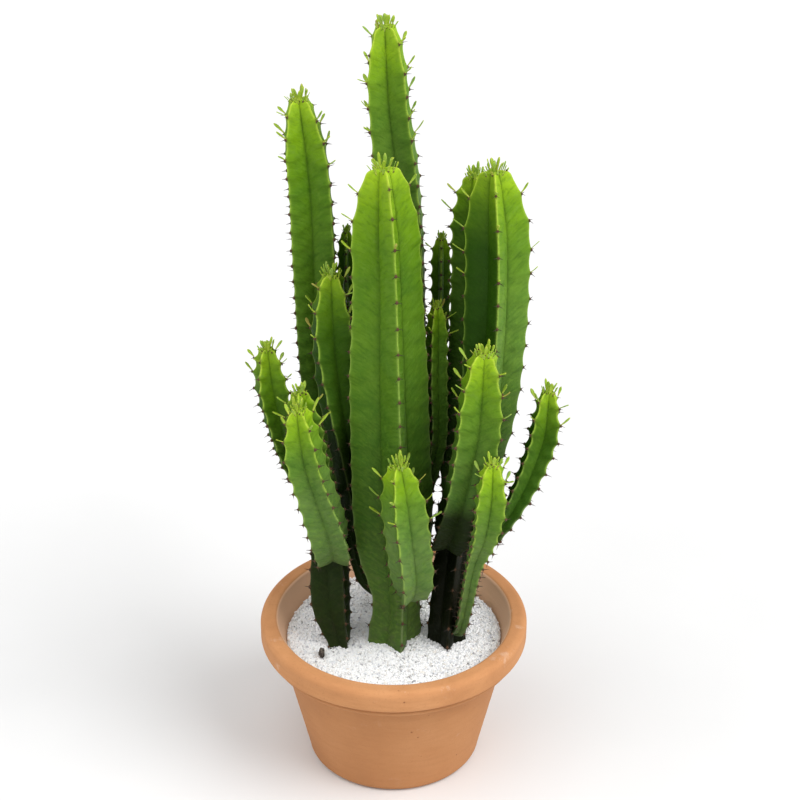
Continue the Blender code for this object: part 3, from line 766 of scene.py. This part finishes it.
def add_leaf(batch, draw, root, direction, face, length, width):
    """One small spoon-shaped leaf; face is the side that its upper face turns to."""
    stations = (0.0, 0.12, 0.3, 0.5, 0.68, 0.84, 0.95)
    widths = (0.34, 0.42, 0.62, 0.88, 1.0, 0.80, 0.42)
    across = unit(np.cross(direction, face))
    face = np.cross(across, direction)
    bend = draw.uniform(-0.05, 0.22) * length
    roll = draw.uniform(-0.35, 0.35)
    across, face = (math.cos(roll) * across + math.sin(roll) * face,
                    math.cos(roll) * face - math.sin(roll) * across)
    thick = LEAF_THICKNESS * width
    verts, along = [], []
    for t, w in zip(stations, widths):
        centre = root + direction * length * t + face * bend * t * t
        for x, y in ((-1, 0.35), (-0.5, -0.6), (0.5, -0.6), (1, 0.35), (0.45, 0.35), (-0.45, 0.35)):
            verts.append(centre + 0.5 * width * w * x * across + thick * y * face)
            along.append(t)
    verts += [root - 0.02 * length * direction, root + direction * length + face * bend]
    along += [0.0, 1.0]
    batch.add(verts, capped_tube(len(stations), 6), along=np.array(along), tint=draw.random())


def build_spines_and_leaves(stem, spine_material, leaf_material):
    """The brown pads with their spine pairs, and the leaves of the youngest ones and the tip."""
    spines, leaves = Batch(), Batch()
    draw = stem.draw
    ball_verts, ball_faces = ball()
    small = min(1.0, stem.rib.max() / STOUT_RIB)
    for k in range(RIBS):
        for index, depth in enumerate(stem.areoles[k]):
            point, out, tangent, along = stem.at(k, depth)
            growth = min(1.0, 0.55 + depth / GROWN_AT) * (0.7 + 0.3 * small)
            size = np.array(PAD_SIZE) * growth * draw.uniform(0.85, 1.15)
            frame_axes = np.stack([out, tangent, along])
            pad = point - 0.25 * MM * out + (ball_verts * size) @ frame_axes
            spines.add(pad, ball_faces, part=0.0)
            for sign in (-1, 1):
                spread = draw.uniform(0.75, 1.05)
                rise = draw.uniform(-0.25, 0.30)
                direction = unit(0.62 * out + sign * spread * tangent + rise * along)
                length = draw.uniform(*SPINE_LENGTHS) * MM * growth
                add_spine(spines, point + sign * 0.7 * MM * growth * tangent, direction, -along,
                          length, SPINE_RADIUS * growth)
            if index < stem.leafy and draw.random() < LEAF_CHANCE:
                lean = draw.uniform(0.55, 1.0)
                direction = unit(out + lean * along + draw.uniform(-0.3, 0.3) * tangent)
                length = draw.uniform(*LEAF_LENGTHS) * MM * (0.6 + 0.4 * small)
                width = draw.uniform(*LEAF_WIDTHS) * MM * (0.7 + 0.3 * small)
                foot = point + 1.6 * MM * along - 0.6 * MM * out
                add_leaf(leaves, draw, foot, direction, along, length, width)
    tip, side, over, along = stem.places[-1], stem.side[-1], stem.over[-1], stem.along[-1]
    count = TUFT_STOUT if small == 1.0 else TUFT_SLIM
    for i in range(count):
        turn = GOLDEN_ANGLE * i
        out = math.cos(turn) * side + math.sin(turn) * over
        spread = math.sqrt((i + 0.5) / count)
        lengths, widths = TUFT_INNER if i < count / 4 else TUFT_OUTER
        direction = unit(along + (0.05 + 0.55 * spread * draw.uniform(0.2, 1.0)) * out)
        length = draw.uniform(*lengths)
        width = draw.uniform(*widths)
        foot = tip + 0.95 * spread * stem.rib[-1] * out - (0.3 + spread ** 2) * MM * along
        scale = (0.55 + 0.45 * small) * MM
        add_leaf(leaves, draw, foot, direction, out, length * scale, width * scale)
        prick = unit(along + 0.8 * out + draw.uniform(-0.6, 0.6) * np.cross(along, out))
        add_spine(spines, foot, prick, -along, draw.uniform(2.5, 4.5) * MM, 0.38 * MM)
        if draw.random() < BUD_CHANCE:
            bud = foot + draw.uniform(0.0, 2.4) * MM * along + draw.uniform(0.2, 1.2) * MM * out
            squat = np.array([draw.uniform(0.5, 1.2) for _ in range(3)]) * MM
            spines.add(bud + ball_verts * squat, ball_faces, part=0.0)
    made = spines.build(stem.name + "_spines", spine_material)
    made = leaves.build(stem.name + "_leaves", leaf_material)
    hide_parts(stem.name + "_crown")


# ---------------------------------------------------------------- pot and gravel

def arc(centre, radius, start, end, steps):
    """Points on a circular arc in the (radius, height) plane, angles in degrees."""
    points = []
    for i in range(steps + 1):
        angle = math.radians(start + (end - start) * i / steps)
        points.append((centre[0] + radius * math.cos(angle), centre[1] + radius * math.sin(angle)))
    return points


def wall_radius(height):
    return BODY_BASE_RADIUS + (BODY_TOP_RADIUS - BODY_BASE_RADIUS) * height / BODY_TOP


def inner_radius(height):
    top_inside = BODY_TOP_RADIUS - WALL
    if height <= BODY_TOP:
        return wall_radius(height) - WALL
    share = (height - BODY_TOP) / (POT_HEIGHT - BODY_TOP)
    return top_inside + (RIM_INNER_RADIUS - top_inside) * share


def line(start, end, steps):
    """Points from start, which is left out, to end."""
    return [(start[0] + (end[0] - start[0]) * i / steps, start[1] + (end[1] - start[1]) * i / steps)
            for i in range(1, steps + 1)]


def pot_profile():
    """Half section of the pot, from the middle of its underside round to its floor."""
    foot = wall_radius(FOOT_ROUNDING) - FOOT_ROUNDING
    points = line((0.0, 0.0), (foot, 0.0), 16)
    points += arc((foot, FOOT_ROUNDING), FOOT_ROUNDING, -75, 0, 5)
    points += line(points[-1], (BODY_TOP_RADIUS - 0.6 * MM, BODY_TOP - 2.5 * MM), 26)
    points += [(BODY_TOP_RADIUS + 0.4 * MM, BODY_TOP - 0.6 * MM), (BODY_TOP_RADIUS + 3 * MM, BODY_TOP)]
    points += line(points[-1], (BEAD_CENTRE[0] - 1.5 * MM, BEAD_CENTRE[1] - BEAD_RADIUS), 3)
    points += arc(BEAD_CENTRE, BEAD_RADIUS, -BEAD_SWEEP, BEAD_SWEEP, 6)
    points += [(GROOVE[0] + 0.4 * MM, GROOVE[1] - 0.9 * MM), GROOVE]
    points += line(GROOVE, (RIM_RADIUS - LIP_INSET, LIP_BOTTOM), 3)
    points += arc((RIM_RADIUS - LIP_INSET, LIP_BOTTOM + LIP_INSET), LIP_INSET, -60, 0, 3)
    points += line((RIM_RADIUS, LIP_SIDE), (RIM_RADIUS, POT_HEIGHT - CROWN_OUTSIDE), 6)
    points += arc((RIM_RADIUS - CROWN_OUTSIDE, POT_HEIGHT - CROWN_OUTSIDE), CROWN_OUTSIDE, 10, 90, 9)
    points += line(points[-1], (RIM_INNER_RADIUS + CROWN_INSIDE, POT_HEIGHT), 3)
    points += arc((RIM_INNER_RADIUS + CROWN_INSIDE, POT_HEIGHT - CROWN_INSIDE), CROWN_INSIDE,
                  100, 175, 7)
    points += line(points[-1], (inner_radius(BODY_TOP), BODY_TOP), 10)
    height = FLOOR + CAVITY_ROUNDING
    points += line(points[-1], (inner_radius(height), height), 14)
    points += arc((inner_radius(height) - CAVITY_ROUNDING, height), CAVITY_ROUNDING, -10, -90, 4)
    points += line(points[-1], (1.0 * MM, FLOOR), 8)
    return points


def build_pot(finish):
    """The turned pot, very slightly uneven, with its three drain holes cut through."""
    profile = np.array([(1.0 * MM, 0.0), *pot_profile()])
    turns = np.arange(POT_SIDES) * 2 * math.pi / POT_SIDES
    verts, inside, rim = [], [], []
    top = next(i for i, (_, z) in enumerate(profile) if z >= POT_HEIGHT - 1e-6)
    for i, (radius, height) in enumerate(profile):
        for turn in turns:
            x, y = math.cos(turn), math.sin(turn)
            uneven = noise.noise(Vector((2.2 * x, 2.2 * y, height * 14 + 3.0)))
            ring = noise.noise(Vector((0.4 * x, 0.4 * y, height * 330)))
            edge = 1.0 if BODY_TOP < height else 0.6
            free = min(1.0, radius / 0.05) * (1.0 if 2 * MM < height else 0.0)
            r = radius + free * (UNEVEN * edge * uneven + TURNING_MARKS * ring)
            z = height + (0.35 * MM * uneven if height > LIP_SIDE else 0.0)
            verts.append((r * x, r * y, z))
            # inside marks the inside wall, which the clay paints paler as painted light.
            # rim is 1 on the rim and 0.35 below it, where the clay paints shade; it also places the
            # salt.
            inside.append(1.0 if i > top + INSIDE_AFTER else 0.0)
            rim.append(1.0 if height > LIP_BOTTOM else 0.35)
    verts += [(0.0, 0.0, 0.0), (0.0, 0.0, FLOOR)]
    inside += [0.0, 1.0]
    rim += [0.0, 0.0]
    batch = Batch()
    batch.add(verts, capped_tube(len(profile), POT_SIDES), inside=inside, rim=rim)
    pot = batch.build("pot_clay", finish)
    for i in range(DRAINS):
        angle = 2 * math.pi * i / DRAINS + DRAIN_TURN
        bpy.ops.mesh.primitive_cylinder_add(
            vertices=40, radius=DRAIN_RADIUS, depth=3 * FLOOR,
            location=(DRAIN_CIRCLE * math.cos(angle), DRAIN_CIRCLE * math.sin(angle), FLOOR / 2))
        cutter = bpy.context.object
        cut = pot.modifiers.new("drain", "BOOLEAN")
        cut.operation, cut.solver, cut.object = "DIFFERENCE", "EXACT", cutter
        bpy.context.view_layer.update()
        cut_mesh = bpy.data.meshes.new_from_object(pot.evaluated_get(
            bpy.context.evaluated_depsgraph_get()))
        pot.modifiers.clear()
        pot.data = cut_mesh
        bpy.data.objects.remove(cutter)
    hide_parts("pot")


def in_stem(stems, x, y, spare):
    """Whether a place on the gravel lies inside one of the stems that stand in it."""
    for stem in stems:
        i = int(np.argmin(np.abs(stem.places[:, 2] - GRAVEL_TOP)))
        offset = np.array((x, y, 0.0)) - np.array((*stem.places[i, :2], 0.0))
        distance = np.linalg.norm(offset)
        if distance > stem.rib[i] + spare:
            continue
        angle = math.atan2(offset.dot(stem.over[i]), offset.dot(stem.side[i])) - stem.turn[i]
        quarter = abs((angle + math.pi / 4) % (math.pi / 2) - math.pi / 4)
        low = stem.valley[i] * stem.rib[i]
        reach = low + (stem.rib[i] - low) * max(0.0, 1 - quarter / (math.pi / 4)) ** 2.2
        if distance < reach + spare:
            return True
    return False


def gravel_height(x, y):
    """The loose surface of the gravel: a low crown with shallow dips in it."""
    out = math.hypot(x, y) / inner_radius(GRAVEL_TOP)
    dips = noise.noise(Vector((x * 26, y * 26, 1.7))) + 0.5 * noise.noise(Vector((x * 70, y * 70, 5.1)))
    return GRAVEL_TOP + GRAVEL_CROWN * (1 - out) + 0.9 * MM * dips + 1.2 * MM * out ** 8


def build_gravel(stems, finish):
    """Thousands of small angular chips on a bed that fills the space between them."""
    draw = random.Random(CHIP_SEED)
    batch = Batch()
    phi = (1 + 5 ** 0.5) / 2
    corners = np.array([(-1, phi, 0), (1, phi, 0), (-1, -phi, 0), (1, -phi, 0),
                        (0, -1, phi), (0, 1, phi), (0, -1, -phi), (0, 1, -phi),
                        (phi, 0, -1), (phi, 0, 1), (-phi, 0, -1), (-phi, 0, 1)]) / phi
    triangles = [(0, 11, 5), (0, 5, 1), (0, 1, 7), (0, 7, 10), (0, 10, 11), (1, 5, 9), (5, 11, 4),
                 (11, 10, 2), (10, 7, 6), (7, 1, 8), (3, 9, 4), (3, 4, 2), (3, 2, 6), (3, 6, 8),
                 (3, 8, 9), (4, 9, 5), (2, 4, 11), (6, 2, 10), (8, 6, 7), (9, 8, 1)]
    limit = inner_radius(GRAVEL_TOP) - 1.8 * MM
    rng = np.random.default_rng(CHIP_SEED)
    for i in range(CHIPS):
        r = limit * math.sqrt((i + 0.5) / CHIPS)
        x = r * math.cos(i * GOLDEN_ANGLE) + draw.uniform(-1, 1) * MM
        y = r * math.sin(i * GOLDEN_ANGLE) + draw.uniform(-1, 1) * MM
        tint, size = draw.random(), draw.uniform(*CHIP_SIZES)
        spin = rng.normal(size=(3, 3))
        jitter = rng.uniform(0.72, 1.2, size=(12, 1))
        lift = draw.uniform(-0.5, 0.75) * MM
        if in_stem(stems, x, y, -0.5 * MM) or math.hypot(x, y) > limit + 0.4 * MM:
            continue
        turn, _ = np.linalg.qr(spin)
        shape = corners * jitter * np.array(CHIP_SHAPE) * size
        batch.add(shape @ turn + np.array((x, y, gravel_height(x, y) + lift)), triangles, tint=tint)
    turns = [2 * math.pi * j / BED_SIDES for j in range(BED_SIDES)]
    verts = []
    for i in range(BED_RINGS):
        r = (inner_radius(GRAVEL_TOP) - 0.6 * MM) * (i + 1) / BED_RINGS
        for turn in turns:
            x, y = r * math.cos(turn), r * math.sin(turn)
            verts.append((x, y, gravel_height(x, y) - BED_DROP))
    low = inner_radius(BED_BOTTOM + 0.1 * MM) - 1 * MM
    verts += [(low * math.cos(turn), low * math.sin(turn), BED_BOTTOM) for turn in turns]
    verts += [(0, 0, gravel_height(0, 0) - BED_DROP), (0, 0, BED_BOTTOM)]
    faces = [face[::-1] for face in capped_tube(BED_RINGS + 1, BED_SIDES)]
    batch.add(verts, faces, tint=0.5)
    bed = batch.build("gravel_chips", finish, smooth=False)
    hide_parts("gravel")


def build_stone(finish):
    """The dark stone: a broken, layered pebble where its solid is."""
    low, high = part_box("dark_stone")
    centre = (Vector(low) + Vector(high)) / 2
    size = (Vector(high) - Vector(low)) / 2
    verts, faces = ball(13, 22)
    shaped = []
    for v in verts:
        rough = noise.fractal(Vector(v * 1.7) + Vector((3.1, 0.4, 9.2)), 0.8, 2.0, 4)
        chip = 1 + 0.30 * rough
        offset = Vector((0.95 * size.x * v[0], 0.95 * size.y * v[1], 1.15 * size.z * v[2]))
        shaped.append(centre + chip * offset + Vector((0, 0, 0.4 * MM)))
    batch = Batch()
    batch.add(shaped, faces)
    made = batch.build("dark_pebble", finish)
    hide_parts("dark_stone")


# ---------------------------------------------------------------- studio

def build_studio():
    """A pale floor, a brighter sky overhead, two soft lamps and the camera."""
    scene = bpy.context.scene
    scene.view_settings.view_transform = "Standard"
    world = bpy.data.worlds.new("studio")
    world.use_nodes = True
    sky = world.node_tree
    up = new_node(sky, "ShaderNodeSeparateXYZ", {
        "Vector": new_node(sky, "ShaderNodeTexCoord").outputs["Generated"]}).outputs["Z"]
    glow = new_node(sky, "ShaderNodeMapRange", {
        "Value": up, "From Min": 0.0, "From Max": 0.9, "To Min": 0.32, "To Max": 0.75})
    sky.nodes["Background"].inputs["Color"].default_value = (1.0, 1.0, 1.0, 1.0)
    sky.links.new(glow.outputs["Result"], sky.nodes["Background"].inputs["Strength"])
    scene.world = world

    mesh = bpy.data.meshes.new("floor")
    reach = 40.0
    mesh.from_pydata([(-reach, -reach, 0), (reach, -reach, 0), (reach, reach, 0), (-reach, reach, 0)],
                     [], [(0, 1, 2, 3)])
    floor = bpy.data.objects.new("floor", mesh)
    scene.collection.objects.link(floor)
    paint = Finish("floor_paint", roughness=0.9)
    cloud = paint.noise(paint.place(), 3.0)
    paint.colour(paint.ramp(cloud, [(0.3, (0.75, 0.75, 0.75)), (0.7, (0.78, 0.78, 0.78))]))
    mesh.materials.append(paint.material)

    def lamp(name, place, softness, power):
        data = bpy.data.lights.new(name, "SUN")
        data.angle, data.energy = math.radians(softness), power
        made = bpy.data.objects.new(name, data)
        made.location = place
        made.rotation_euler = Vector(place).to_track_quat("Z", "Y").to_euler()
        scene.collection.objects.link(made)

    lamp("key", (1.5, -0.8, 1.9), 40, 2.12)
    lamp("fill", (-1.2, -0.9, 1.9), 60, 1.02)

    data = bpy.data.cameras.new("camera")
    data.sensor_width = 36.0
    data.lens = LENS
    camera = bpy.data.objects.new("camera", data)
    camera.location = CAMERA_PLACE
    camera.rotation_euler = (math.radians(90 - CAMERA_PITCH), 0.0, 0.0)
    scene.collection.objects.link(camera)
    scene.camera = camera


def main():
    skin, spines, leaves = skin_finish(), spine_finish(), leaf_finish()
    stems = [Stem(name, spec) for name, spec in STEMS.items()]
    for stem in stems:
        stem.build(skin)
        build_spines_and_leaves(stem, spines, leaves)
    build_pot(clay_finish())
    build_gravel([s for s in stems if s.places[0, 2] < GRAVEL_TOP], gravel_finish())
    build_stone(stone_finish())
    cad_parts["soil"].data.materials.clear()
    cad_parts["soil"].data.materials.append(soil_finish())
    build_studio()


main()
